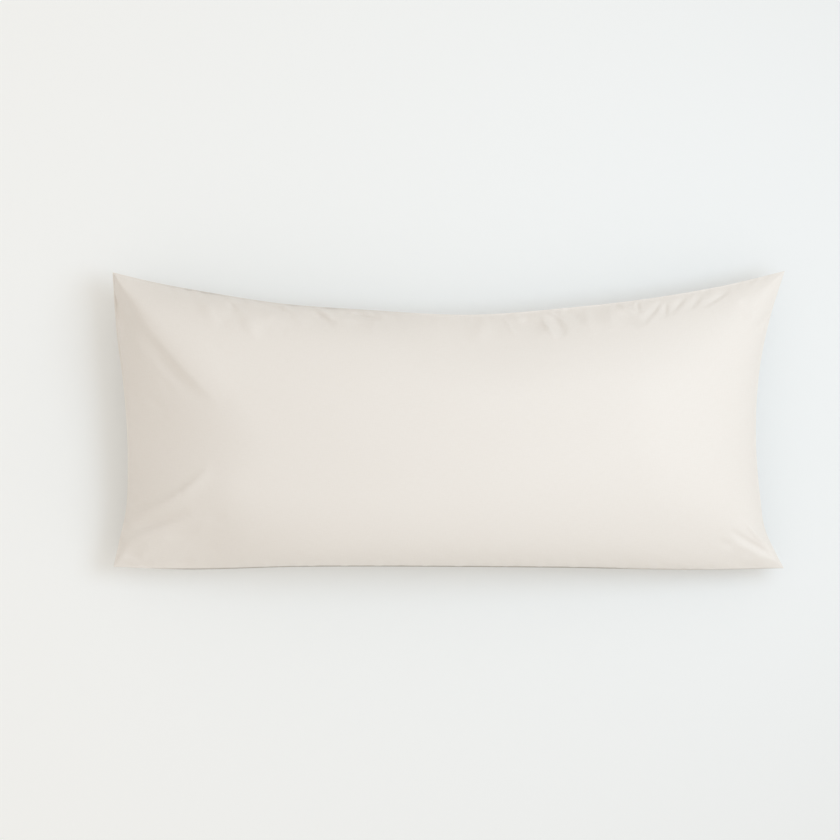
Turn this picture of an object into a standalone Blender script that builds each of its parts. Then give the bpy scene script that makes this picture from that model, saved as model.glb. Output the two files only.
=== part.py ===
"""A long pillowcase, filled by its pillow and lying on its back.

Metres, +X along the long side, +Y from the straight long edge to the drawn-in one, +Z up.
The origin is on the surface that the pillow lies on, under the middle of its box.

A plain pillowcase is one length of cloth, folded and sewn into a flat bag of about
1.02 m by 0.45 m, so the filled one is one solid: an upper and a lower skin that meet
in a knife-edge seam. The seam leaves the tips of the four corners and is drawn in
between them; the upper skin rises from it to the crown, and the lower skin flattens
where it lies on the surface.
"""

from collections import namedtuple

import bpy
import numpy as np

# Where the four corner tips lie (x, y) and how high above the surface each is held.
TIPS = {
    "bottom_left": (-0.490, -0.2140, 0.050),
    "bottom_right": (0.490, -0.2160, 0.052),
    "top_left": (-0.490, 0.2160, 0.064),
    "top_right": (0.490, 0.2180, 0.066),
}

# How far the seam is drawn in from the straight line between two tips, and how far it
# lifts above that line: (share of the way along the side, drawn in, lifted).
# Shares run left to right and bottom to top. A negative value is a bulge outwards.
SEAM = {
    "bottom": (
        (0.00, 0.0000, 0.000),
        (0.10, -0.0030, 0.010),
        (0.28, 0.0016, 0.022),
        (0.50, 0.0022, 0.026),
        (0.66, 0.0012, 0.024),
        (0.88, -0.0020, 0.012),
        (1.00, 0.0000, 0.000),
    ),
    "top": (
        (0.00, 0.0000, 0.000),
        (0.06, 0.0142, 0.003),
        (0.15, 0.0308, 0.007),
        (0.25, 0.0460, 0.011),
        (0.37, 0.0552, 0.013),
        (0.54, 0.0630, 0.014),
        (0.68, 0.0530, 0.013),
        (0.81, 0.0382, 0.010),
        (0.92, 0.0190, 0.004),
        (1.00, 0.0000, 0.000),
    ),
    "left": (
        (0.00, 0.0000, 0.000),
        (0.09, 0.0088, 0.004),
        (0.18, 0.0180, 0.008),
        (0.36, 0.0222, 0.013),
        (0.62, 0.0160, 0.012),
        (0.80, 0.0060, 0.006),
        (1.00, 0.0000, 0.000),
    ),
    "right": (
        (0.00, 0.0000, 0.000),
        (0.055, 0.0128, 0.003),
        (0.12, 0.0262, 0.006),
        (0.25, 0.0362, 0.011),
        (0.48, 0.0426, 0.014),
        (0.69, 0.0360, 0.011),
        (0.85, 0.0208, 0.005),
        (1.00, 0.0000, 0.000),
    ),
}

# How each side of a skin rises from its seam: (share of the way along the side, how far
# inwards it still rises, roundness). Roundness 0.5 stands up steeply from the seam, as a
# quarter circle does, and 1.0 climbs from it evenly.
UPPER_RISES = {
    "bottom": (
        (0.00, 0.190, 1.15),
        (0.12, 0.140, 0.90),
        (0.24, 0.105, 0.46),
        (0.36, 0.105, 0.40),
        (0.55, 0.130, 0.42),
        (0.74, 0.175, 0.52),
        (0.90, 0.190, 0.72),
        (1.00, 0.200, 1.05),
    ),
    "top": (
        (0.00, 0.150, 0.84),
        (0.12, 0.135, 0.62),
        (0.30, 0.125, 0.62),
        (0.42, 0.125, 0.80),
        (0.55, 0.130, 0.96),
        (0.80, 0.150, 0.90),
        (1.00, 0.230, 1.05),
    ),
    "left": (
        (0.00, 0.150, 1.02),
        (0.25, 0.165, 0.95),
        (0.45, 0.205, 0.95),
        (0.75, 0.150, 0.78),
        (1.00, 0.125, 0.74),
    ),
    "right": (
        (0.00, 0.150, 0.76),
        (0.50, 0.190, 0.76),
        (0.80, 0.200, 0.85),
        (1.00, 0.230, 1.05),
    ),
}
LOWER_RISES = {
    "bottom": ((0.0, 0.110, 0.55), (1.0, 0.110, 0.55)),
    "top": ((0.0, 0.160, 0.80), (0.5, 0.130, 0.80), (1.0, 0.160, 0.80)),
    "left": ((0.0, 0.170, 0.75), (1.0, 0.170, 0.75)),
    "right": ((0.0, 0.170, 0.75), (1.0, 0.170, 0.75)),
}
# How sharply two sides meet along a hip, and how much more sharply at the top left tip.
HIP_SHARPNESS = 3.5
TOP_LEFT_SHARPNESS = 6.0

# The crown above the seam, how much of it is a dome over the whole face, and the lower
# skin's depth, of which the surface underneath takes the last part away.
CROWN_HEIGHT = 0.089
DOME = 0.13
BELLY_DEPTH = 0.112
FLOOR_ROUNDING = 0.012
LIES_FLAT_BELOW = 0.0015

# The folds that show from a step away, on the upper skin: soft ridges and troughs.
# From (x, y) to (x, y), bowed sideways by bow, width across, height (a trough is
# negative), in metres.
Fold = namedtuple("Fold", "x0 y0 x1 y1 bow width height")
FOLDS = (
    # The ridge from the top left tip to the crown, and the hollow between it and the seam.
    Fold(-0.486, 0.203, -0.322, 0.022, -0.006, 0.016, 0.0065),
    Fold(-0.482, 0.190, -0.455, 0.112, 0.002, 0.016, -0.0060),
    # The two folds that leave the lower left side, and the softer one under them.
    Fold(-0.470, -0.144, -0.342, -0.066, -0.014, 0.016, 0.0045),
    Fold(-0.476, -0.180, -0.368, -0.134, 0.008, 0.014, -0.0055),
    Fold(-0.412, -0.170, -0.358, -0.154, -0.001, 0.014, -0.0025),
    # The lower right corner: two ridges that run from the tip, a trough between them.
    Fold(0.466, -0.178, 0.426, -0.143, 0.003, 0.010, 0.0040),
    Fold(0.468, -0.188, 0.410, -0.155, 0.003, 0.011, -0.0040),
    Fold(0.488, -0.213, 0.416, -0.166, 0.003, 0.013, 0.0045),
    # Gathers under the top seam: the left half leans one way, the right end the other.
    Fold(-0.343, 0.178, -0.300, 0.134, 0.000, 0.015, 0.0045),
    Fold(-0.272, 0.167, -0.239, 0.126, 0.000, 0.014, 0.0035),
    Fold(-0.200, 0.161, -0.162, 0.138, 0.000, 0.013, -0.0040),
    Fold(0.102, 0.149, 0.142, 0.132, 0.000, 0.014, -0.0035),
    Fold(0.147, 0.155, 0.166, 0.120, 0.002, 0.014, -0.0045),
    Fold(0.312, 0.177, 0.275, 0.135, 0.002, 0.013, -0.0040),
    Fold(0.346, 0.184, 0.315, 0.151, 0.002, 0.013, -0.0035),
    Fold(0.412, 0.191, 0.365, 0.163, 0.002, 0.013, -0.0030),
)
# Folds fade out over this distance from the seam.
FOLD_MARGIN = 0.012

# How many quads each skin has along and across it, and how much closer together they
# lie near the seam.
COLUMNS = 80
ROWS = 34
EDGE_CROWDING = 0.45

CLOTH_COLOUR = (0.80, 0.745, 0.680, 1.0)
CLOTH_ROUGHNESS = 0.85


def clear_scene():
    for old in list(bpy.data.objects):
        bpy.data.objects.remove(old)


def smooth(shares, values, t):
    """A smooth curve through values at shares, read at t."""
    slopes = np.gradient(values, shares)
    i = np.clip(np.searchsorted(shares, t) - 1, 0, len(shares) - 2)
    step = shares[i + 1] - shares[i]
    s = (t - shares[i]) / step
    ends = values[i] * (1 + 2 * s) * (1 - s) ** 2 + values[i + 1] * s**2 * (3 - 2 * s)
    return ends + step * (slopes[i] * s * (1 - s) ** 2 - slopes[i + 1] * s**2 * (1 - s))


def seam_side(side, start, end, inward, t):
    """Points of one side of the seam, at shares t of the way from start to end."""
    start, end = np.array(TIPS[start]), np.array(TIPS[end])
    shares, drawn_in, lifted = np.transpose(SEAM[side])
    line = start + t[..., None] * (end - start)
    line += smooth(shares, drawn_in, t)[..., None] * np.array(inward)
    line[..., 2] += smooth(shares, lifted, t)
    return line


def mid_surface(u, v):
    """The surface that the seam frames, between the two skins, at (u, v)."""
    bottom = seam_side("bottom", "bottom_left", "bottom_right", (0, 1, 0), u)
    top = seam_side("top", "top_left", "top_right", (0, -1, 0), u)
    left = seam_side("left", "bottom_left", "top_left", (1, 0, 0), v)
    right = seam_side("right", "bottom_right", "top_right", (-1, 0, 0), v)
    u, v = u[..., None], v[..., None]
    tips = {name: np.array(place) for name, place in TIPS.items()}
    corners = (1 - u) * ((1 - v) * tips["bottom_left"] + v * tips["top_left"])
    corners += u * ((1 - v) * tips["bottom_right"] + v * tips["top_right"])
    across = (1 - v) * bottom + v * top
    along = (1 - u) * left + u * right
    distances = {
        "bottom": v[..., 0] * np.linalg.norm(top - bottom, axis=-1),
        "top": (1 - v[..., 0]) * np.linalg.norm(top - bottom, axis=-1),
        "left": u[..., 0] * np.linalg.norm(right - left, axis=-1),
        "right": (1 - u[..., 0]) * np.linalg.norm(right - left, axis=-1),
    }
    return across + along - corners, distances


def fullness(u, v, distances, rises):
    """0 at the seam and 1 at the crown, with a hip where two sides meet."""
    along = {"bottom": u, "top": u, "left": v, "right": v}
    sharpness = HIP_SHARPNESS + TOP_LEFT_SHARPNESS * np.exp(-((u / 0.2) ** 2) - ((1 - v) / 0.5) ** 2)
    total = 0.0
    for side, rise in rises.items():
        shares, reaches, roundnesses = np.transpose(rise)
        left_to_go = 1 - np.clip(distances[side] / smooth(shares, reaches, along[side]), 0, 1)
        risen = np.clip(1 - left_to_go**2, 1e-9, 1) ** smooth(shares, roundnesses, along[side])
        total = total + risen**-sharpness
    return (total - len(rises) + 1) ** (-1 / sharpness)


def fold_height(fold, x, y):
    """How much a fold lifts the skin at (x, y): a bump across it that fades at its ends."""
    along = np.array([fold.x1 - fold.x0, fold.y1 - fold.y0])
    length = np.hypot(*along)
    along = along / length
    reached = ((x - fold.x0) * along[0] + (y - fold.y0) * along[1]) / length
    inside = np.clip(reached, 0, 1)
    aside = (y - fold.y0) * along[0] - (x - fold.x0) * along[1]
    aside = aside - fold.bow * 4 * inside * (1 - inside)
    past_end = (reached - inside) * length
    fade = np.sin(np.pi * np.clip(0.12 + 0.76 * inside, 0, 1))
    return fold.height * fade * np.exp(-(aside**2 + past_end**2) / fold.width**2)


def soft_floor(z):
    """z, turned smoothly to 0 where it would go below the surface, and 0 just above it."""
    near = (z + FLOOR_ROUNDING) ** 2 / (4 * FLOOR_ROUNDING)
    height = np.where(z > FLOOR_ROUNDING, z, np.where(z > -FLOOR_ROUNDING, near, 0.0))
    return np.where(height < LIES_FLAT_BELOW, 0.0, height)


def crowded(count):
    """count + 1 shares from 0 to 1, closer together near both ends."""
    t = np.linspace(0, 1, count + 1)
    return t - EDGE_CROWDING * np.sin(2 * np.pi * t) / (2 * np.pi)


def skins():
    """Points of the upper and of the lower skin, as grids of ROWS + 1 by COLUMNS + 1."""
    u, v = np.meshgrid(crowded(COLUMNS), crowded(ROWS))
    middle, distances = mid_surface(u, v)
    x, y, z = np.moveaxis(middle, -1, 0)
    dome = 1 - DOME * ((2 * u - 1) ** 2 + (2 * v - 1) ** 2) / 2
    rise = dome * fullness(u, v, distances, UPPER_RISES)
    folds = sum(fold_height(fold, x, y) for fold in FOLDS)
    nearest_side = np.minimum.reduce(list(distances.values()))
    upper = z + CROWN_HEIGHT * rise + folds * np.clip(nearest_side / FOLD_MARGIN, 0, 1)
    lower = soft_floor(z - BELLY_DEPTH * fullness(u, v, distances, LOWER_RISES))
    return np.dstack([x, y, upper]), np.dstack([x, y, lower])


def faces_of(index, upward):
    """Quads between the points of a grid, halved through the tip at its four corners."""
    around = [index[:-1, :-1], index[:-1, 1:], index[1:, 1:], index[1:, :-1]]
    quads = np.dstack(around).tolist()
    faces = []
    for j, row in enumerate(quads):
        for i, (a, b, c, d) in enumerate(row):
            if (i, j) in ((0, 0), (COLUMNS - 1, ROWS - 1)):
                faces += [(a, b, c), (a, c, d)]
            elif (i, j) in ((COLUMNS - 1, 0), (0, ROWS - 1)):
                faces += [(a, b, d), (b, c, d)]
            else:
                faces.append((a, b, c, d))
    return faces if upward else [face[::-1] for face in faces]


def filled_case():
    """The solid: two grids of faces that share the points of the seam."""
    upper, lower = skins()
    row, column = np.indices(upper.shape[:2])
    on_seam = (row % ROWS == 0) | (column % COLUMNS == 0)
    upper_index = np.arange(upper[..., 0].size).reshape(row.shape)
    lower_index = upper_index.copy()
    lower_index[~on_seam] = upper_index.size + np.arange((~on_seam).sum())
    points = np.concatenate([upper.reshape(-1, 3), lower[~on_seam]])
    low, high = points.min(axis=0), points.max(axis=0)
    points[:, :2] -= (low[:2] + high[:2]) / 2
    faces = faces_of(upper_index, upward=True) + faces_of(lower_index, upward=False)

    mesh = bpy.data.meshes.new("pillowcase")
    mesh.from_pydata(points.tolist(), [], faces)
    mesh.shade_smooth()
    case = bpy.data.objects.new("pillowcase", mesh)
    bpy.context.scene.collection.objects.link(case)
    return case


def cloth_material():
    material = bpy.data.materials.new("cream_cotton")
    material.use_nodes = True
    shader = material.node_tree.nodes["Principled BSDF"]
    shader.inputs["Base Color"].default_value = CLOTH_COLOUR
    shader.inputs["Roughness"].default_value = CLOTH_ROUGHNESS
    shader.inputs["Metallic"].default_value = 0.0
    return material


clear_scene()
filled_case().data.materials.append(cloth_material())
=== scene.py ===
"""How a long cream pillowcase looks, filled by its pillow and lying on its back.

Metres, in the frame's own axes: +X along the long side, +Y to the drawn-in long edge, +Z up.

The case is one closed piece of cloth, made in this order: the surface that its seam
frames, an upper and a lower skin that start from the seam's pressed lip, the ripples
that a cloth simulation leaves near the seam, the creases that the photograph shows,
and small puckers along the seam.
"""

from collections import namedtuple

import bpy
import numpy as np
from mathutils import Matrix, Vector


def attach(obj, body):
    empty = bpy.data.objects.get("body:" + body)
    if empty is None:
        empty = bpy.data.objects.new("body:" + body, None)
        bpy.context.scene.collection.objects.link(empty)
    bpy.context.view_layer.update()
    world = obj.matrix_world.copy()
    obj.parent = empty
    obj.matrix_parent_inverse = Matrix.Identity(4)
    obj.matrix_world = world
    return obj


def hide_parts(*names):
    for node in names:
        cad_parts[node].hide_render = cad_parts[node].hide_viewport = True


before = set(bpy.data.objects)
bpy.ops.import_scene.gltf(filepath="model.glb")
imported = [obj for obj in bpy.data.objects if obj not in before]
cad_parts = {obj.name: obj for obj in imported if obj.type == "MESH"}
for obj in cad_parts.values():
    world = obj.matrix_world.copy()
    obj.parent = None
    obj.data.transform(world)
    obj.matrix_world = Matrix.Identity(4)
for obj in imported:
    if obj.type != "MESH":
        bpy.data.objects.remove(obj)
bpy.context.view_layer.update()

# ---------------------------------------------------------------- the seam

TIPS = {
    "bottom_left": (-0.490, -0.2140, 0.050),
    "bottom_right": (0.490, -0.2160, 0.052),
    "top_left": (-0.490, 0.2160, 0.064),
    "top_right": (0.490, 0.2180, 0.066),
}

# How far the seam is drawn in from the straight line between two tips, and how far it
# lifts above that line: (share of the way along the side, drawn in, lifted).
# Shares run left to right and bottom to top. A negative value is a bulge outwards.
SEAM = {
    "bottom": (
        (0.00, 0.0000, 0.000),
        (0.10, -0.0030, 0.010),
        (0.28, 0.0016, 0.022),
        (0.50, 0.0022, 0.026),
        (0.66, 0.0012, 0.024),
        (0.88, -0.0020, 0.012),
        (1.00, 0.0000, 0.000),
    ),
    "top": (
        (0.00, 0.0000, 0.000),
        (0.06, 0.0142, 0.003),
        (0.15, 0.0308, 0.007),
        (0.25, 0.0460, 0.011),
        (0.37, 0.0552, 0.013),
        (0.54, 0.0630, 0.014),
        (0.68, 0.0530, 0.013),
        (0.81, 0.0382, 0.010),
        (0.92, 0.0190, 0.004),
        (1.00, 0.0000, 0.000),
    ),
    "left": (
        (0.00, 0.0000, 0.000),
        (0.09, 0.0088, 0.004),
        (0.18, 0.0180, 0.008),
        (0.36, 0.0222, 0.013),
        (0.62, 0.0160, 0.012),
        (0.80, 0.0060, 0.006),
        (1.00, 0.0000, 0.000),
    ),
    "right": (
        (0.00, 0.0000, 0.000),
        (0.055, 0.0128, 0.003),
        (0.12, 0.0262, 0.006),
        (0.25, 0.0362, 0.011),
        (0.48, 0.0426, 0.014),
        (0.69, 0.0360, 0.011),
        (0.85, 0.0208, 0.005),
        (1.00, 0.0000, 0.000),
    ),
}

# ---------------------------------------------------------------- the filling

# How each side of a skin rises from its seam: (share of the way along the side, how far
# inwards it still rises, roundness). Roundness 0.5 stands up steeply from the seam, as a
# quarter circle does, and 1.0 climbs from it evenly.
UPPER_RISES = {
    "bottom": (
        (0.00, 0.190, 1.20),
        (0.13, 0.145, 1.05),
        (0.20, 0.115, 0.62),
        (0.27, 0.105, 0.42),
        (0.38, 0.105, 0.38),
        (0.55, 0.130, 0.40),
        (0.74, 0.175, 0.50),
        (0.86, 0.190, 0.66),
        (0.94, 0.190, 1.00),
        (1.00, 0.200, 1.20),
    ),
    "top": (
        (0.00, 0.150, 0.84),
        (0.12, 0.135, 0.62),
        (0.30, 0.125, 0.62),
        (0.42, 0.125, 0.80),
        (0.55, 0.130, 0.96),
        (0.80, 0.150, 0.90),
        (1.00, 0.230, 1.05),
    ),
    "left": (
        (0.00, 0.150, 1.02),
        (0.25, 0.165, 0.95),
        (0.45, 0.205, 0.95),
        (0.75, 0.150, 0.78),
        (1.00, 0.125, 0.74),
    ),
    "right": (
        (0.00, 0.150, 0.76),
        (0.50, 0.190, 0.76),
        (0.80, 0.200, 0.85),
        (1.00, 0.230, 1.05),
    ),
}
LOWER_RISES = {
    "bottom": ((0.0, 0.110, 0.55), (1.0, 0.110, 0.55)),
    "top": ((0.0, 0.160, 0.80), (0.5, 0.130, 0.80), (1.0, 0.160, 0.80)),
    "left": ((0.0, 0.170, 0.75), (1.0, 0.170, 0.75)),
    "right": ((0.0, 0.170, 0.75), (1.0, 0.170, 0.75)),
}
# How sharply two sides meet along a hip, how much more sharply at the top left tip, and
# over what share of the length and of the width that fades.
HIP_SHARPNESS = 3.5
TOP_LEFT_SHARPNESS = 6.0
TOP_LEFT_ACROSS = 0.2
TOP_LEFT_ALONG = 0.5
# The crown above the seam, how much of it is a dome over the whole face, how deep the
# lower skin would go without the surface underneath, over what height it turns flat there,
# and below what height it lies flat.
CROWN_HEIGHT = 0.089
DOME = 0.13
BELLY_DEPTH = 0.112
FLOOR_ROUNDING = 0.012
LIES_FLAT_BELOW = 0.0015
# Keeps what is raised to a power or divided by above 0.
TINY = 1e-9

# ---------------------------------------------------------------- the creases

# Placed on the upper skin, in millimetres: from (x, y) to (x, y), bowed sideways by bow;
# width across at the start and how many times wider at the end; height where it is
# strongest, at peak of the way along. A trough has a negative height. Skew is how many
# times wider its left-hand flank is than the other, seen along its run. They come in this
# order: top left tip, lower left, lower right, along the top, and the right.
Crease = namedtuple("Crease", "x0 y0 x1 y1 bow width widening height peak skew")
CREASES = (
    Crease(-489, 207, -324, 21, -6, 8, 1, 6.5, 0.6, 5),
    Crease(-487, 190, -464, 109, 2, 7, 1.3, -12, 0.42, 2.2),
    Crease(-427, 100, -354, 27, -3, 8, 1.3, -1.8, 0.45, 0.7),
    Crease(-462, 129, -404, 47, 0, 7, 1.4, 1.6, 0.4, 1),
    Crease(-442, 103, -410, 47, 0, 4, 1.5, -0.9, 0.5, 1),
    Crease(-421, 71, -395, 33, 0, 5, 1.4, -1.1, 0.5, 1),
    Crease(-442, 36, -404, 12, 0, 5, 1.5, -1.6, 0.5, 1),
    Crease(-468, -138, -340, -65, -11, 13, 1.1, 6.2, 0.58, 0.33),
    Crease(-389, -113, -382, -87, 0, 4, 1.3, -0.8, 0.4, 1),
    Crease(-462, -128, -433, -121, 0, 5, 1.3, -2.2, 0.5, 1),
    Crease(-478, -170, -370, -132, 3, 6.5, 1.25, -8.5, 0.5, 1.4),
    Crease(-483, -198, -436, -182, 2, 7, 1.2, -3, 0.5, 1),
    Crease(-413, -170, -357, -154, -1, 8, 1.3, -2.4, 0.5, 1),
    Crease(-351, -147, -316, -138, 0, 7, 1.4, -1.2, 0.5, 1),
    Crease(-474, -199, -445, -196, 0, 5, 1.2, -2.5, 0.5, 1),
    Crease(-453, -211, -427, -207, 0, 4, 1.2, -1.6, 0.5, 1),
    Crease(-402, -208, -369, -205, 0, 5, 1.2, -2.6, 0.4, 1),
    Crease(427, -141, 471, -183, -4, 3.6, 1.3, 4, 0.5, 1),
    Crease(402, -154, 479, -199, -4, 5.5, 1.2, -5, 0.55, 0.9),
    Crease(412, -164, 490, -214, -3, 15, 1.1, 4.6, 0.5, 0.3),
    Crease(387, -173, 417, -183, -1, 5, 1.3, -1.6, 0.5, 1),
    Crease(423, -188, 452, -199, 0, 5, 1.3, -1.6, 0.5, 1),
    Crease(-453, 207, -418, 195, 0, 4, 1.3, -2.5, 0.4, 1),
    Crease(-424, 196, -316, 174, 1, 6, 1.6, -6, 0.7, 0.8),
    Crease(-364, 180, -325, 139, 0, 10, 1.2, 3.8, 0.45, 4),
    Crease(-322, 173, -305, 158, 0, 4, 1.4, -4, 0.5, 0.7),
    Crease(-310, 174, -272, 129, 0, 9, 1.3, 3.4, 0.4, 4),
    Crease(-359, 173, -338, 160, 0, 4, 1.4, 1.4, 0.5, 1),
    Crease(-290, 174, -229, 158, -1, 4, 1.3, -7, 0.5, 0.8),
    Crease(-270, 166, -237, 126, 1, 8, 1.4, 3.4, 0.42, 4),
    Crease(-246, 166, -214, 155, -1, 2.6, 1.2, 3.6, 0.5, 1),
    Crease(-252, 170, -205, 164, 0, 2.4, 1.2, -4, 0.6, 1),
    Crease(-229, 161, -204, 135, 0, 6, 1.4, 2.8, 0.45, 4),
    Crease(-201, 161, -161, 138, -2, 4.6, 1.3, -6, 0.5, 0.7),
    Crease(-194, 164, -159, 147, -1, 3, 1.3, 5, 0.4, 1),
    Crease(-191, 166, -159, 160, 0, 2.8, 1.2, -5, 0.5, 1),
    Crease(-170, 161, -97, 148, -1, 4.2, 1.2, -8.5, 0.6, 0.6),
    Crease(-109, 158, -88, 147, 0, 3.5, 1.2, 3, 0.5, 1),
    Crease(-159, 147, -141, 151, 0, 3.5, 1.2, 1.5, 0.5, 1),
    Crease(-150, 142, -109, 136, 0, 6, 1.3, -3.4, 0.5, 1),
    Crease(-261, 144, -232, 126, 0, 5, 1.3, -2, 0.5, 1),
    Crease(-302, 147, -270, 120, 0, 6, 1.4, 2.5, 0.5, 4),
    Crease(-343, 158, -316, 135, 0, 5, 1.3, -1.6, 0.5, 1),
    Crease(55, 151, 37, 109, 0, 10, 1.4, 3.2, 0.4, 1),
    Crease(79, 151, 101, 117, -1, 2.6, 1.4, 2.2, 0.4, 1),
    Crease(90, 155, 113, 144, -1, 2.8, 1.3, 2.6, 0.4, 1),
    Crease(101, 150, 142, 132, -2, 7, 1.4, -5.6, 0.5, 1),
    Crease(132, 152, 157, 117, -1, 3.4, 1.3, 4, 0.45, 1),
    Crease(147, 157, 167, 120, 2, 7.5, 0.9, -7, 0.45, 1),
    Crease(142, 161, 171, 141, -1, 2.6, 1.3, 3.6, 0.4, 1),
    Crease(163, 163, 201, 147, 0, 7, 1.4, -5, 0.5, 1),
    Crease(198, 160, 224, 147, 0, 8, 1.2, -2.6, 0.5, 1),
    Crease(192, 155, 215, 126, 0, 6, 1.5, 2.4, 0.4, 1),
    Crease(233, 164, 236, 129, 0, 7, 1.3, 1.8, 0.45, 1),
    Crease(243, 171, 274, 157, -1, 2.8, 1.3, 3.6, 0.45, 1),
    Crease(244, 158, 281, 138, -1, 6, 1.3, -5.4, 0.45, 1),
    Crease(274, 174, 275, 154, 0, 3, 1.3, -3.4, 0.4, 1),
    Crease(312, 177, 275, 136, 2, 5, 1.3, -5, 0.4, 0.6),
    Crease(306, 170, 281, 139, 2, 4.5, 1.4, 1.6, 0.42, 1),
    Crease(316, 173, 312, 147, 0, 5.4, 1.2, -4.6, 0.45, 0.6),
    Crease(347, 185, 316, 151, 2, 5.4, 1.3, -3.8, 0.4, 0.5),
    Crease(369, 183, 344, 158, 1, 6, 1.2, -3.2, 0.42, 0.5),
    Crease(412, 192, 364, 163, 2, 4.2, 1.2, -2.8, 0.5, 0.5),
    Crease(423, 176, 440, 147, 0, 8, 1.3, -3.4, 0.5, 1),
    Crease(471, 160, 428, 120, 2, 5, 1.6, -3, 0.3, 1),
    Crease(262, 134, 221, 131, 0, 1.6, 1.1, 0.2, 0.5, 1),
    Crease(265, 136, 166, 116, -1, 1.8, 1.1, 0.22, 0.5, 1),
    Crease(450, 71, 402, 31, 0, 9, 1.4, 1.2, 0.4, 1),
    Crease(455, 110, 411, 74, 0, 9, 1.4, 1, 0.4, 1),
    Crease(450, 23, 406, -14, 0, 9, 1.4, 1, 0.4, 1),
)
# How gently a crease swells from its ends, over what distance from the seam the creases
# and the simulation's ripples begin, and over what height above the surface underneath.
SWELL_POWER = 1.2
CREASES_START_WITHIN = 0.003
RIPPLES_START_WITHIN = 0.005
CLEAR_OF_FLOOR = 0.010

# ---------------------------------------------------------------- the mesh

# The mesh is finer near the seam, by how much its lines crowd there. Inside a rim of RIM
# cells the lower skin, which is smooth, has a quarter as many cells as the upper one.
COLUMNS = 484
ROWS = 156
COLUMNS_CROWDED = 0.20
ROWS_CROWDED = 0.55
RIM = 4

# The cloth was cut to this size, flat, and both its panels lie on a square sheet for the
# material, with a margin.
FLAT_LENGTH = 1.02
FLAT_WIDTH = 0.45
SHEET_SIDE = 1.10
SHEET_MARGIN = 0.04

# The pressed lip along the seam: its width, how much that varies and in what waves, half
# its thickness, how far in its edge is rounded, how far in the skin still makes room for
# it, and the distances of the first rows from the seam.
LIP_WIDTH = 0.0018
LIP_VARIES = 0.0006
LIP_WAVES = (190, 77)
LIP_WAVE_START = 1.3
LIP_HALF_THICKNESS = 0.0007
LIP_ROUNDING = 0.0010
LIP_MAKES_ROOM = 0.012
LIP_ROWS = (0.0004, 0.0010, 0.0018, 0.0028)

# Where the cloth is painted darker along the seam, as painted shade: from one share of a
# side to another, how much at the seam, and how far in that fades. The bottom has a thin
# painted shadow line on its lip, the left half of the top a faint wide painted shade.
Shade = namedtuple("Shade", "side start end strength width")
PAINTED_SEAM_SHADES = (
    Shade("bottom", 0.08, 0.76, 0.95, 0.0012),
    Shade("bottom", 0.76, 0.98, 0.55, 0.0011),
    Shade("top", 0.04, 0.46, 0.058, 0.0400),
    Shade("top", 0.10, 0.42, 0.088, 0.0040),
)
# The share of a side over which a painted shade begins and ends.
SHADE_FADE = 0.06

# Small puckers along each side of the seam, in millimetres: how far apart, how long, how
# wide and how high they are, and how far they lean to the middle for each step inwards.
Puckers = namedtuple("Puckers", "apart length width height lean")
PUCKERS = {
    "bottom": Puckers(15, 9, 2.8, 0.35, 0.3),
    "top": Puckers(12, 17, 3.0, 0.65, 0.9),
    "left": Puckers(15, 11, 2.8, 0.40, 0.5),
    "right": Puckers(14, 12, 2.8, 0.40, 0.5),
}
INWARD = {"bottom": (0, 1), "top": (0, -1), "left": (1, 0), "right": (-1, 0)}
# How much one pucker differs from the next, least and most, and the shape they share.
PUCKER_LENGTHS = (0.6, 1.7)
PUCKER_LEANS = (-0.3, 0.3)
PUCKER_HEIGHTS = (0.4, 1.5)
PUCKER_WIDTHS = (0.8, 1.4)
PUCKER_BOWS = (-1, 1)
PUCKER_GAPS = (0.6, 1.5)
PUCKER_WIDENING = 1.5
PUCKER_PEAK = 0.25
PUCKER_SEED = 11
# The points along a side between which the places of its puckers are found.
SIDE_POINTS = 400


def smooth(shares, values, t):
    """A smooth curve through values at shares, read at t."""
    slopes = np.gradient(values, shares)
    i = np.clip(np.searchsorted(shares, t) - 1, 0, len(shares) - 2)
    step = shares[i + 1] - shares[i]
    s = (t - shares[i]) / step
    ends = values[i] * (1 + 2 * s) * (1 - s) ** 2 + values[i + 1] * s**2 * (3 - 2 * s)
    return ends + step * (slopes[i] * s * (1 - s) ** 2 - slopes[i + 1] * s**2 * (1 - s))


def seam_side(side, start, end, inward, t):
    """Points of one side of the seam, at shares t of the way from start to end."""
    start, end = np.array(TIPS[start]), np.array(TIPS[end])
    shares, drawn_in, lifted = np.transpose(SEAM[side])
    line = start + t[..., None] * (end - start)
    line += smooth(shares, drawn_in, t)[..., None] * np.array(inward)
    line[..., 2] += smooth(shares, lifted, t)
    return line


def mid_surface(u, v):
    """The surface that the seam frames, between the two skins, at (u, v)."""
    bottom = seam_side("bottom", "bottom_left", "bottom_right", (0, 1, 0), u)
    top = seam_side("top", "top_left", "top_right", (0, -1, 0), u)
    left = seam_side("left", "bottom_left", "top_left", (1, 0, 0), v)
    right = seam_side("right", "bottom_right", "top_right", (-1, 0, 0), v)
    u, v = u[..., None], v[..., None]
    tips = {name: np.array(place) for name, place in TIPS.items()}
    corners = (1 - u) * ((1 - v) * tips["bottom_left"] + v * tips["top_left"])
    corners += u * ((1 - v) * tips["bottom_right"] + v * tips["top_right"])
    across = (1 - v) * bottom + v * top
    along = (1 - u) * left + u * right
    distances = {
        "bottom": v[..., 0] * np.linalg.norm(top - bottom, axis=-1),
        "top": (1 - v[..., 0]) * np.linalg.norm(top - bottom, axis=-1),
        "left": u[..., 0] * np.linalg.norm(right - left, axis=-1),
        "right": (1 - u[..., 0]) * np.linalg.norm(right - left, axis=-1),
    }
    return across + along - corners, distances


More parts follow.
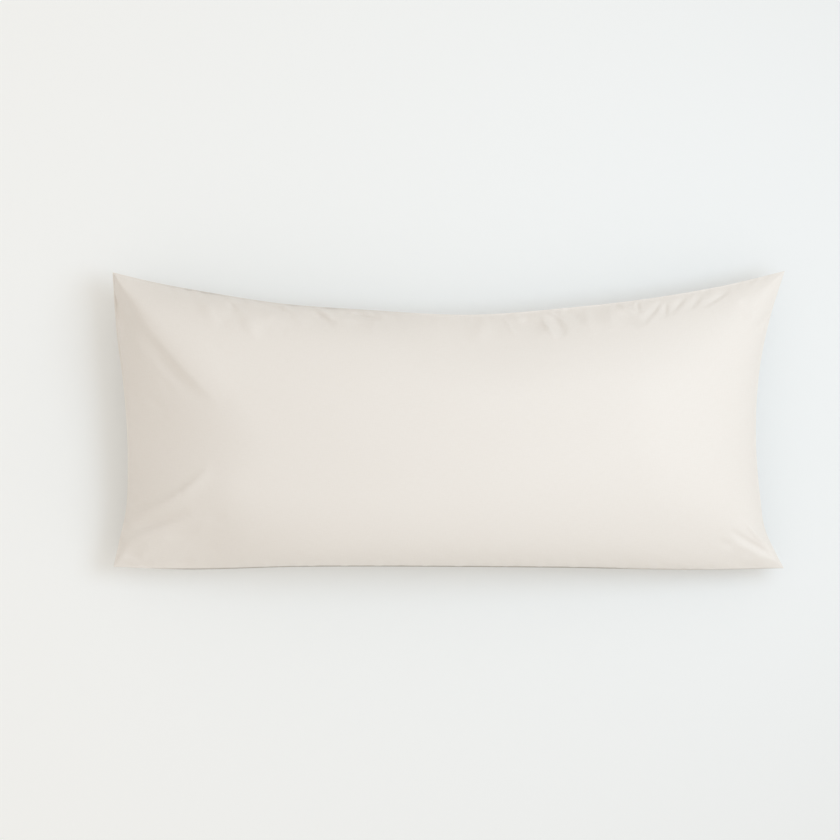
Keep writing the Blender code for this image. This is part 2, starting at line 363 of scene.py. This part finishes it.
def fullness(u, v, distances, rises):
    """0 at the seam and 1 at the crown, with a hip where two sides meet."""
    along = {"bottom": u, "top": u, "left": v, "right": v}
    from_top_left = (u / TOP_LEFT_ACROSS) ** 2 + ((1 - v) / TOP_LEFT_ALONG) ** 2
    sharpness = HIP_SHARPNESS + TOP_LEFT_SHARPNESS * np.exp(-from_top_left)
    total = 0.0
    for side, rise in rises.items():
        shares, reaches, roundnesses = np.transpose(rise)
        left_to_go = 1 - np.clip(distances[side] / smooth(shares, reaches, along[side]), 0, 1)
        risen = np.clip(1 - left_to_go**2, TINY, 1) ** smooth(shares, roundnesses, along[side])
        total = total + risen**-sharpness
    return (total - len(rises) + 1) ** (-1 / sharpness)


def soft_floor(z):
    """z, turned smoothly to exactly 0 where it would go below the surface."""
    near = (z + FLOOR_ROUNDING) ** 2 / (4 * FLOOR_ROUNDING)
    above = np.where(z > FLOOR_ROUNDING, z, np.where(z > -FLOOR_ROUNDING, near, 0.0))
    return np.where(above < LIES_FLAT_BELOW, 0.0, above)


def past_lip(distance, width):
    """The distance from the lip's inner edge. Far from the seam the lip has no say."""
    past = np.clip(distance - width, 0, None)
    return past + width * (1 - np.exp(-past / LIP_MAKES_ROOM))


def skins(u, v, lip=True, crown_height=CROWN_HEIGHT):
    """Points of the upper and of the lower skin at (u, v), and how far each is from a side."""
    middle, distances = mid_surface(u, v)
    x, y, z = np.moveaxis(middle, -1, 0)
    nearest = np.minimum.reduce(list(distances.values()))
    thickness = 0.0
    inside = distances
    if lip:
        waves = np.sin(LIP_WAVES[0] * (x + y) + LIP_WAVE_START) * np.sin(LIP_WAVES[1] * (x - y))
        width = LIP_WIDTH + LIP_VARIES * waves
        inside = {side: past_lip(distance, width) for side, distance in distances.items()}
        edge = 1 - np.clip(nearest / LIP_ROUNDING, 0, 1)
        thickness = LIP_HALF_THICKNESS * np.sqrt(1 - edge**2)
    dome = 1 - DOME * ((2 * u - 1) ** 2 + (2 * v - 1) ** 2) / 2
    upper = z + thickness + crown_height * dome * fullness(u, v, inside, UPPER_RISES)
    lower = soft_floor(z - thickness - BELLY_DEPTH * fullness(u, v, inside, LOWER_RISES))
    return np.dstack([x, y, upper]), np.dstack([x, y, lower]), nearest


# ---------------------------------------------------------------- creases and puckers


def crease_height(one, x, y):
    """How much a crease lifts the skin at (x, y): a bump across it that fades along it."""
    x0, y0, x1, y1, bow, width = np.array(one[:6]) / 1000
    length = np.hypot(x1 - x0, y1 - y0)
    ux, uy = (x1 - x0) / length, (y1 - y0) / length
    reached = ((x - x0) * ux + (y - y0) * uy) / length
    inside = np.clip(reached, 0, 1)
    aside = (y - y0) * ux - (x - x0) * uy - bow * 4 * inside * (1 - inside)
    past_end = (reached - inside) * length
    across = width * (1 + (one.widening - 1) * inside)
    across = np.where(aside > 0, across * one.skew, across)
    rise = np.clip(inside / one.peak, 0, 1)
    fall = np.clip((1 - inside) / (1 - one.peak), 0, 1)
    swell = np.sin(np.pi / 2 * np.minimum(rise, fall)) ** SWELL_POWER
    return one.height / 1000 * swell * np.exp(-(aside**2 + past_end**2) / across**2)


def puckers(rng):
    """Creases of uneven size that start at the seam, all the way round it."""
    made = []
    t = np.linspace(0, 1, SIDE_POINTS)
    start, end = np.zeros_like(t), np.ones_like(t)
    sides = {"bottom": (t, start), "top": (t, end), "left": (start, t), "right": (end, t)}
    for side, kind in PUCKERS.items():
        u, v = sides[side]
        line = mid_surface(u[None], v[None])[0][0] * 1000
        gone = np.concatenate([[0], np.cumsum(np.linalg.norm(np.diff(line, axis=0), axis=1))])
        place = kind.apart
        while place < gone[-1] - kind.apart:
            x, y = np.interp(place, gone, line[:, 0]), np.interp(place, gone, line[:, 1])
            length = kind.length * rng.uniform(*PUCKER_LENGTHS)
            lean = kind.lean * (1 - 2 * place / gone[-1]) + rng.uniform(*PUCKER_LEANS)
            inward = np.array(INWARD[side])
            aside = np.array([1, 0]) if inward[0] == 0 else np.array([0, 1])
            step = (inward + lean * aside) / np.hypot(1, lean) * length
            height = kind.height * rng.uniform(*PUCKER_HEIGHTS) * rng.choice([-1, 1])
            width = kind.width * rng.uniform(*PUCKER_WIDTHS)
            bow = rng.uniform(*PUCKER_BOWS)
            run = (x, y, x + step[0], y + step[1], bow)
            made.append(Crease(*run, width, PUCKER_WIDENING, height, PUCKER_PEAK, 1))
            place += kind.apart * rng.uniform(*PUCKER_GAPS)
    return made


def creased(x, y, nearest, creases):
    """How much all the creases lift the skin at (x, y). The seam itself stays in place."""
    lift = sum(crease_height(one, x, y) for one in creases)
    return lift * np.clip(nearest / CREASES_START_WITHIN, 0, 1)


# ---------------------------------------------------------------- meshes


def crowded(count, length, crowding):
    """count + 1 shares from 0 to 1: the lip's rows, then closer together near both ends."""
    lip = np.array(LIP_ROWS) / length
    t = np.linspace(0, 1, count + 1 - 2 * len(lip))
    t = lip[-1] + (1 - 2 * lip[-1]) * (t - crowding * np.sin(2 * np.pi * t) / (2 * np.pi))
    return np.concatenate([[0], lip[:-1], t, 1 - lip[-2::-1], [1]])


def quads(index, upward):
    """The cells of a grid of points, as faces seen from above or from below."""
    around = [index[:-1, :-1], index[:-1, 1:], index[1:, 1:], index[1:, :-1]]
    return np.dstack(around if upward else around[::-1]).reshape(-1, 4)


def halved_at_tips(faces, shape):
    """The faces, of which the four at the tips are halved through the tip.

    Otherwise a diagonal there could run from seam to seam and be shared by both skins.
    """
    rows, columns = shape
    tips = {0, columns - 1, (rows - 1) * columns, rows * columns - 1}
    halved = []
    for face in faces:
        tip = tips.intersection(face)
        if tip:
            first = face.index(tip.pop())
            a, b, c, d = face[first:] + face[:first]
            halved += [[a, b, c], [a, c, d]]
        else:
            halved.append(face)
    return halved


def thinned(index):
    """Faces, seen from below, of a grid whose inner cells are joined four to one."""
    rows, columns = index.shape[0] - 1, index.shape[1] - 1
    middle = index[RIM : rows - RIM + 1]
    rim = [index[: RIM + 1], index[rows - RIM :], middle[:, : RIM + 1], middle[:, columns - RIM :]]
    faces = np.concatenate([quads(part, False) for part in rim]).tolist()
    for i in range(RIM, rows - RIM, 2):
        for j in range(RIM, columns - RIM, 2):
            face = [index[i, j], index[i + 2, j], index[i + 2, j + 2], index[i, j + 2]]
            if i == RIM:
                face.insert(4, index[i, j + 1])
            if j + 2 == columns - RIM:
                face.insert(3, index[i + 1, j + 2])
            if i + 2 == rows - RIM:
                face.insert(2, index[i + 2, j + 1])
            if j == RIM:
                face.insert(1, index[i + 1, j])
            faces.append(face)
    return faces


def joined(upper, lower, used=True):
    """Points of both skins, which share the seam's, and where each grid's points are.

    Only the used points of the lower grid are taken. The grids may also hold one value
    for each point instead of its place.
    """
    rows, columns = upper.shape[0] - 1, upper.shape[1] - 1
    row, column = np.indices(upper.shape[:2])
    on_seam = (row % rows == 0) | (column % columns == 0)
    upper_index = np.arange(on_seam.size).reshape(row.shape)
    lower_index = upper_index.copy()
    own = ~on_seam & used
    lower_index[own] = on_seam.size + np.arange(own.sum())
    points = np.concatenate([upper.reshape(-1, *upper.shape[2:]), lower[own]])
    return points, upper_index, lower_index


def mesh_object(name, points, faces):
    """A new object of this mesh, in the scene."""
    mesh = bpy.data.meshes.new(name)
    mesh.from_pydata(points.tolist(), [], faces)
    made = bpy.data.objects.new(name, mesh)
    bpy.context.scene.collection.objects.link(made)
    return made


# ---------------------------------------------------------------- the simulation

SIM_COLUMNS = 168
SIM_ROWS = 74
SIM_STEPS = 24
# The skins start with this much of their crown, so the cloth still has some way to go.
SIM_START_CROWN = 0.93
# The cloth is cut a little full for its filling, so it gathers at the seam. Its two
# panels lie this far from the plane between them when it is flat.
SIM_LENGTH = 1.05
SIM_WIDTH = 0.46
SIM_HALF_GAP = 0.0005
SIM_MOST_MOVED = 0.004
# The seam, and the lower skin up to this height, are pinned this firmly.
SIM_PINNED = 0.9
SIM_PINNED_BELOW = 0.020
# Only ripples between these widths, in steps of the grid, are taken, and mostly near the
# seam: wider ones are the filling's own shape, and over the middle it holds the cloth taut.
SIM_FINEST = 1.1
SIM_WIDEST = 6.0
SIM_NEAR_SEAM = 0.070
SIM_SETTINGS = {
    "quality": 5,
    "mass": 0.2,
    "tension_stiffness": 100,
    "compression_stiffness": 100,
    "shear_stiffness": 10,
    "bending_stiffness": 0.02,
    "tension_damping": 5,
    "compression_damping": 5,
    "shear_damping": 5,
    "bending_damping": 0.5,
    "air_damping": 1,
    "use_pressure": True,
    "uniform_pressure_force": 12,
    "pin_stiffness": 5,
}


def simulated(cloth, flat, pinned):
    """Lets pressure fill the cloth, whose own size is that of its flat points."""
    cloth.shape_key_add(name="start")
    cut = cloth.shape_key_add(name="cut")
    cut.data.foreach_set("co", flat.astype(np.float32).ravel())
    cut.value = 0.0
    group = cloth.vertex_groups.new(name="pinned")
    group.add([int(i) for i in pinned], SIM_PINNED, "REPLACE")
    modifier = cloth.modifiers.new("Cloth", "CLOTH")
    for name, value in SIM_SETTINGS.items():
        setattr(modifier.settings, name, value)
    modifier.settings.rest_shape_key = cut
    modifier.settings.vertex_group_mass = group.name
    modifier.settings.effector_weights.gravity = 0
    modifier.collision_settings.use_collision = False
    modifier.collision_settings.use_self_collision = False
    modifier.point_cache.frame_start = 1
    modifier.point_cache.frame_end = SIM_STEPS + 1
    scene = bpy.context.scene
    scene.frame_start = 1
    scene.frame_end = SIM_STEPS + 1
    for step in range(1, SIM_STEPS + 1):
        scene.frame_set(step)
    shaped = cloth.evaluated_get(bpy.context.evaluated_depsgraph_get())
    points = np.zeros(len(shaped.data.vertices) * 3, np.float32)
    shaped.data.vertices.foreach_get("co", points)
    scene.frame_set(1)
    return points.reshape(-1, 3).astype(float)


def spread_out(moved, steps):
    """A grid's movement, averaged over its surroundings."""
    weights = []
    for count in moved.shape[:2]:
        apart = np.arange(count)[:, None] - np.arange(count)
        near = np.exp(-0.5 * (apart / steps) ** 2)
        weights.append(near / near.sum(axis=1, keepdims=True))
    return np.einsum("ij,jkc,lk->ilc", weights[0], moved, weights[1])


def ripples(moved):
    """The ripples in a coarse grid's movement, none of them deeper than the most allowed."""
    moved = spread_out(moved, SIM_FINEST) - spread_out(moved, SIM_WIDEST)
    far = np.linalg.norm(moved, axis=2, keepdims=True)
    return moved * np.minimum(1, SIM_MOST_MOVED / np.maximum(far, TINY))


def settled():
    """The ripples that form in two coarse skins as the filling presses them out."""
    u, v = np.meshgrid(np.linspace(0, 1, SIM_COLUMNS + 1), np.linspace(0, 1, SIM_ROWS + 1))
    upper, lower, nearest = skins(u, v, lip=False, crown_height=SIM_START_CROWN * CROWN_HEIGHT)
    seeds = puckers(np.random.default_rng(PUCKER_SEED))
    upper[..., 2] += creased(upper[..., 0], upper[..., 1], nearest, seeds)
    x, y = (u - 0.5) * SIM_LENGTH, (v - 0.5) * SIM_WIDTH
    gap = np.full_like(x, SIM_HALF_GAP)
    flat = joined(np.dstack([x, y, gap]), np.dstack([x, y, -gap]))[0]
    start, upper_index, lower_index = joined(upper, lower)
    faces = np.concatenate([quads(upper_index, True), quads(lower_index, False)]).tolist()
    underneath = lower[..., 2] < SIM_PINNED_BELOW
    pinned = np.concatenate([upper_index[nearest == 0], lower_index[underneath]])
    cloth = mesh_object("cloth_before_filling", start, faces)
    moved = simulated(cloth, flat, pinned) - start
    mesh = cloth.data
    bpy.data.objects.remove(cloth)
    bpy.data.meshes.remove(mesh)
    return ripples(moved[upper_index]), ripples(moved[lower_index])


def weights_between(count, t):
    """Weights of a cubic convolution, which reads count + 1 even steps at the shares t."""
    step = np.abs(t[:, None] * count - np.arange(count + 1))
    near = (1.5 * step - 2.5) * step**2 + 1
    far = ((2.5 - 0.5 * step) * step - 4) * step + 2
    weights = np.where(step < 1, near, np.where(step < 2, far, 0))
    return weights / weights.sum(axis=1, keepdims=True)


def read_finely(coarse, across, along):
    """A coarse grid's values at finer shares across (columns) and along (rows)."""
    columns = weights_between(coarse.shape[1] - 1, across)
    rows = weights_between(coarse.shape[0] - 1, along)
    return np.einsum("ij,jkc,lk->ilc", rows, coarse, columns)


# ---------------------------------------------------------------- the case


def build_case():
    """The case: two skins with the simulation's ripples, the creases and the puckers."""
    across = crowded(COLUMNS, 2 * TIPS["top_right"][0], COLUMNS_CROWDED)
    along = crowded(ROWS, 2 * TIPS["top_right"][1], ROWS_CROWDED)
    u, v = np.meshgrid(across, along)
    upper, lower, nearest = skins(u, v)
    off_floor = np.clip(lower[..., 2:] / CLEAR_OF_FLOOR, 0, 1)
    upper_moved, lower_moved = settled()
    kept = np.clip(nearest / RIPPLES_START_WITHIN, 0, 1)
    kept = (kept * np.exp(-((nearest / SIM_NEAR_SEAM) ** 2)))[..., None]
    upper += read_finely(upper_moved, across, along) * kept
    lower += read_finely(lower_moved, across, along) * kept * off_floor
    rng = np.random.default_rng(PUCKER_SEED)
    x, y = upper[..., 0], upper[..., 1]
    upper[..., 2] += creased(x, y, nearest, list(CREASES) + puckers(rng))
    lower[..., 2:] -= creased(x, y, nearest, puckers(rng))[..., None] * off_floor
    lower[..., 2] = np.maximum(lower[..., 2], 0)
    return case_object(upper, lower, u, v)


def case_object(upper, lower, u, v):
    """One closed mesh of both skins, with its flat panels and its painted shade along the seam."""
    grid = np.arange(u.size).reshape(u.shape)
    above = halved_at_tips(quads(grid, True).tolist(), grid.shape)
    below = halved_at_tips(thinned(grid), grid.shape)
    used = np.zeros(u.size, bool)
    used[np.concatenate(below)] = True
    used = used.reshape(u.shape)
    points, upper_index, lower_index = joined(upper, lower, used)
    lower_index = lower_index.ravel().tolist()
    faces = above + [[lower_index[corner] for corner in face] for face in below]
    case = mesh_object("case_cloth", points, faces)
    case.data.shade_smooth()
    lay_out(case.data, u, v, np.concatenate(above), np.concatenate(below))
    # Painted shade: each point's share of the dark shade tone along the seam.
    seam = case.data.attributes.new("painted_seam_shade", "FLOAT", "POINT")
    shade = painted_seam_shade(u, v)
    seam.data.foreach_set("value", joined(shade, shade, used)[0])
    return case


def painted_seam_shade(u, v):
    """How much of the painted shade's darker tone the cloth takes at (u, v)."""
    distances = mid_surface(u, v)[1]
    along = {"bottom": u, "top": u, "left": v, "right": v}
    total = 0.0
    for one in PAINTED_SEAM_SHADES:
        from_ends = np.minimum(along[one.side] - one.start, one.end - along[one.side])
        here = one.strength * np.clip(0.5 + from_ends / SHADE_FADE, 0, 1)
        total = total + here * np.exp(-((distances[one.side] / one.width) ** 2))
    return np.clip(total, 0, 1)


def lay_out(mesh, u, v, above, below):
    """Gives the cloth its two flat panels side by side, at one scale, as UVs."""
    x = (SHEET_MARGIN + u * FLAT_LENGTH).ravel()
    y = (SHEET_MARGIN / 2 + v * FLAT_WIDTH).ravel()
    upper_panel = np.stack([x[above], y[above]], axis=1)
    lower_panel = np.stack([x[below], SHEET_SIDE - y[below]], axis=1)
    flat = np.concatenate([upper_panel, lower_panel]) / SHEET_SIDE
    layer = mesh.uv_layers.new(name="flat_cloth")
    layer.data.foreach_set("uv", flat.astype(np.float32).ravel())


# ---------------------------------------------------------------- materials

CREAM = (0.815, 0.785, 0.745)
CREAM_SHADED = (0.795, 0.762, 0.718)
# The dark tone of the painted shade along the seam.
PAINTED_SHADE_TONE = (0.25, 0.23, 0.20)
THREAD_PERIOD = 0.0006
THREAD_RELIEF = 0.00004
SLUB_RELIEF = 0.00006
RELIEF_STRENGTH = 0.6
# How many slubs there are for each metre in x, y and z: some run along y, some along x.
SLUBS = ((1100, 90, 1), (75, 1000, 1))
SLUB_DETAIL = 2.0
CLOUDS_PER_METRE = 9.0
CLOUD_DETAIL = 3.0
# How much slubs and clouds darken the cream, less what they have on average.
SLUB_IN_TONE = 3.2
CLOUD_IN_TONE = 0.6
TONE_LESS = 1.5
SMOOTHEST = 0.74
ROUGHEST = 0.86
SHEEN = 0.2
SHEEN_ROUGHNESS = 0.45
SPECULAR = 0.35


class Nodes:
    """Adds nodes to a material, or to the world, and joins them.

    A keyword names the input it feeds, with _ for a blank, or is i and the input's number.
    """

    def __init__(self, owner):
        owner.use_nodes = True
        self.tree = owner.node_tree
        self.shader = self.tree.nodes.get("Principled BSDF") or self.tree.nodes["Background"]

    def add(self, kind, settings=None, **inputs):
        node = self.tree.nodes.new(kind)
        for name, value in (settings or {}).items():
            setattr(node, name, value)
        for name, value in inputs.items():
            key = int(name[1:]) if name[1:].isdigit() else name.replace("_", " ")
            self.feed(node.inputs[key], value)
        return node

    def feed(self, socket, value):
        """Joins the socket to another one, or gives it a value."""
        if isinstance(value, bpy.types.NodeSocket):
            self.tree.links.new(value, socket)
        else:
            socket.default_value = value

    def math(self, operation, first, second=0.0):
        node = self.add("ShaderNodeMath", {"operation": operation}, i0=first, i1=second)
        return node.outputs[0]


def cloth_material():
    """Cream percale: a fine plain weave with slubs both ways and a soft, even tone."""
    material = bpy.data.materials.new("cream_percale")
    nodes = Nodes(material)
    uv = nodes.add("ShaderNodeUVMap", {"uv_map": "flat_cloth"}).outputs["UV"]
    scaled = nodes.add("ShaderNodeVectorMath", {"operation": "SCALE"}, i0=uv, Scale=SHEET_SIDE)
    metres = scaled.outputs[0]
    parts = nodes.add("ShaderNodeSeparateXYZ", i0=metres)
    turn = np.pi / THREAD_PERIOD
    warp = nodes.math("SINE", nodes.math("MULTIPLY", parts.outputs["X"], turn))
    weft = nodes.math("SINE", nodes.math("MULTIPLY", parts.outputs["Y"], turn))
    weave = nodes.math("MULTIPLY", warp, weft)
    slubs = []
    for per_metre in SLUBS:
        run = nodes.add("ShaderNodeMapping", {"vector_type": "TEXTURE"}, Vector=metres)
        run.inputs["Scale"].default_value = [1 / count for count in per_metre]
        noise = nodes.add("ShaderNodeTexNoise", Vector=run.outputs[0], Scale=1.0)
        noise.inputs["Detail"].default_value = SLUB_DETAIL
        slubs.append(noise.outputs[0])
    slub = nodes.math("MULTIPLY", nodes.math("ADD", slubs[0], slubs[1]), 0.5)
    clouds = nodes.add("ShaderNodeTexNoise", Vector=metres, Scale=CLOUDS_PER_METRE)
    clouds.inputs["Detail"].default_value = CLOUD_DETAIL
    slub_shade = nodes.math("MULTIPLY", slub, SLUB_IN_TONE)
    cloud_shade = nodes.math("MULTIPLY", clouds.outputs[0], CLOUD_IN_TONE)
    shade = nodes.math("SUBTRACT", nodes.math("ADD", slub_shade, cloud_shade), TONE_LESS)
    tone = nodes.add("ShaderNodeMix", {"data_type": "RGBA"}, i0=shade)
    tone.inputs[6].default_value = (*CREAM, 1)
    tone.inputs[7].default_value = (*CREAM_SHADED, 1)
    # Painted shade: the cream is mixed toward the dark shade tone along the seam.
    seam = nodes.add("ShaderNodeAttribute", {"attribute_name": "painted_seam_shade"}).outputs["Fac"]
    tone = nodes.add("ShaderNodeMix", {"data_type": "RGBA"}, i0=seam, i6=tone.outputs[2])
    tone.inputs[7].default_value = (*PAINTED_SHADE_TONE, 1)
    threads = nodes.add("ShaderNodeBump", Height=weave, Distance=THREAD_RELIEF)
    threads.inputs["Strength"].default_value = RELIEF_STRENGTH
    relief = nodes.add("ShaderNodeBump", Height=slub, Distance=SLUB_RELIEF)
    relief.inputs["Strength"].default_value = RELIEF_STRENGTH
    nodes.feed(relief.inputs["Normal"], threads.outputs[0])
    nodes.feed(nodes.shader.inputs["Base Color"], tone.outputs[2])
    nodes.feed(nodes.shader.inputs["Normal"], relief.outputs[0])
    rough = nodes.add("ShaderNodeMapRange", Value=slub, To_Min=SMOOTHEST, To_Max=ROUGHEST)
    nodes.feed(nodes.shader.inputs["Roughness"], rough.outputs[0])
    nodes.shader.inputs["Sheen Weight"].default_value = SHEEN
    nodes.shader.inputs["Sheen Roughness"].default_value = SHEEN_ROUGHNESS
    nodes.shader.inputs["Specular IOR Level"].default_value = SPECULAR
    return material


# ---------------------------------------------------------------- the studio

# The softbox stands to the right, so near that its light weakens to the left. The room's
# own light is fuller from the right and from above, by these shares along each axis.
SOFTBOX_PLACE = (0.82, 0.18, 1.60)
SOFTBOX_SIZE = 1.1
SOFTBOX_WATTS = 8.2
SOFTBOX_TONE = (0.80, 0.98, 1.16)
FILL = 0.790
FILL_FULLER = (0.09, 0.02, 0.10)
FILL_TONE = (1.024, 0.965, 0.898)
# A dark flag stands behind the top left tip: the way to it, the cosine of the angle from
# there at which it begins, and how much of the light it takes away.
Flag = namedtuple("Flag", "direction begins darkness")
FLAG = Flag((-0.75, 0.62, 0.20), 0.80, 0.25)
# The floor's colour is painted paler to the left, by this share for each metre and this
# far to either side: painted light that makes up for the softbox's light weakening to the
# left, so the floor looks evenly lit. It ends out of sight.
FLOOR_TONE = (0.865, 0.890, 0.897)
FLOOR_PAINTED_LIGHT_PER_METRE = 0.10
FLOOR_PAINTED_LIGHT_WITHIN = 0.8
FLOOR_ENDS = 40.0
FLOOR_ROUGHNESS = 0.9


def floor():
    """A wide pale floor, its colour painted paler to the left as painted light."""
    corners = np.array([(-1, -1, 0), (1, -1, 0), (1, 1, 0), (-1, 1, 0)]) * FLOOR_ENDS
    plane = mesh_object("floor", corners, [(0, 1, 2, 3)])
    material = bpy.data.materials.new("pale_floor")
    nodes = Nodes(material)
    place = nodes.add("ShaderNodeTexCoord").outputs["Object"]
    across = nodes.add("ShaderNodeSeparateXYZ", i0=place).outputs["X"]
    paler = FLOOR_PAINTED_LIGHT_WITHIN * FLOOR_PAINTED_LIGHT_PER_METRE
    share = nodes.add("ShaderNodeMapRange", Value=across)
    share.inputs["From Min"].default_value = -FLOOR_PAINTED_LIGHT_WITHIN
    share.inputs["From Max"].default_value = FLOOR_PAINTED_LIGHT_WITHIN
    share.inputs["To Min"].default_value = 1 + paler
    share.inputs["To Max"].default_value = 1 - paler
    tone = nodes.add("ShaderNodeVectorMath", {"operation": "SCALE"}, Scale=share.outputs[0])
    tone.inputs[0].default_value = FLOOR_TONE
    nodes.feed(nodes.shader.inputs["Base Color"], tone.outputs[0])
    nodes.shader.inputs["Roughness"].default_value = FLOOR_ROUGHNESS
    plane.data.materials.append(material)


def room_light():
    """The world's light: an even fill, fuller one way, less where the flag stands."""
    world = bpy.data.worlds.new("studio")
    nodes = Nodes(world)
    way = nodes.add("ShaderNodeTexCoord").outputs["Generated"]
    fuller = nodes.add("ShaderNodeVectorMath", {"operation": "DOT_PRODUCT"}, i0=way)
    fuller.inputs[1].default_value = FILL_FULLER
    level = nodes.math("ADD", nodes.math("MULTIPLY", fuller.outputs["Value"], FILL), FILL)
    towards = nodes.add("ShaderNodeVectorMath", {"operation": "DOT_PRODUCT"}, i0=way)
    towards.inputs[1].default_value = FLAG.direction
    kept = nodes.add("ShaderNodeMapRange", {"interpolation_type": "SMOOTHSTEP"})
    nodes.feed(kept.inputs["Value"], towards.outputs["Value"])
    kept.inputs["From Min"].default_value = FLAG.begins
    kept.inputs["To Min"].default_value = 1.0
    kept.inputs["To Max"].default_value = 1 - FLAG.darkness
    level = nodes.math("MULTIPLY", level, kept.outputs[0])
    nodes.feed(nodes.shader.inputs["Strength"], level)
    nodes.shader.inputs["Color"].default_value = (*FILL_TONE, 1)
    bpy.context.scene.world = world


def studio():
    """The room's light and the softbox."""
    room_light()
    light = bpy.data.lights.new("softbox", "AREA")
    light.shape = "DISK"
    light.size = SOFTBOX_SIZE
    light.energy = SOFTBOX_WATTS
    light.color = SOFTBOX_TONE
    lamp = bpy.data.objects.new("softbox", light)
    lamp.location = SOFTBOX_PLACE
    lamp.rotation_euler = Vector(SOFTBOX_PLACE).to_track_quat("Z", "Y").to_euler()
    bpy.context.scene.collection.objects.link(lamp)
    bpy.context.scene.view_settings.view_transform = "Standard"


# The photograph's scale at the height of the seam, and the pixel in its frame, counted
# from the top left, where the middle of the case is.
METRES_PER_PIXEL = 0.00146
FRAME_PIXELS = 840
PHOTO_CENTRE = (448.6, 420.45)
SEAM_HEIGHT = 0.058
LENS = 150.0
SENSOR = 36.0


def camera():
    """A camera straight above the face, as far away as gives the photograph's scale."""
    view = bpy.data.cameras.new("camera")
    view.lens = LENS
    view.sensor_width = SENSOR
    eye = bpy.data.objects.new("camera", view)
    distance = METRES_PER_PIXEL * FRAME_PIXELS * LENS / SENSOR
    x = (FRAME_PIXELS / 2 - PHOTO_CENTRE[0]) * METRES_PER_PIXEL
    y = (PHOTO_CENTRE[1] - FRAME_PIXELS / 2) * METRES_PER_PIXEL
    eye.location = (x, y, SEAM_HEIGHT + distance)
    bpy.context.scene.collection.objects.link(eye)
    bpy.context.scene.camera = eye


case = build_case()
case.data.materials.append(cloth_material())
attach(case, "root")
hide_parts("pillowcase")
floor()
studio()
camera()
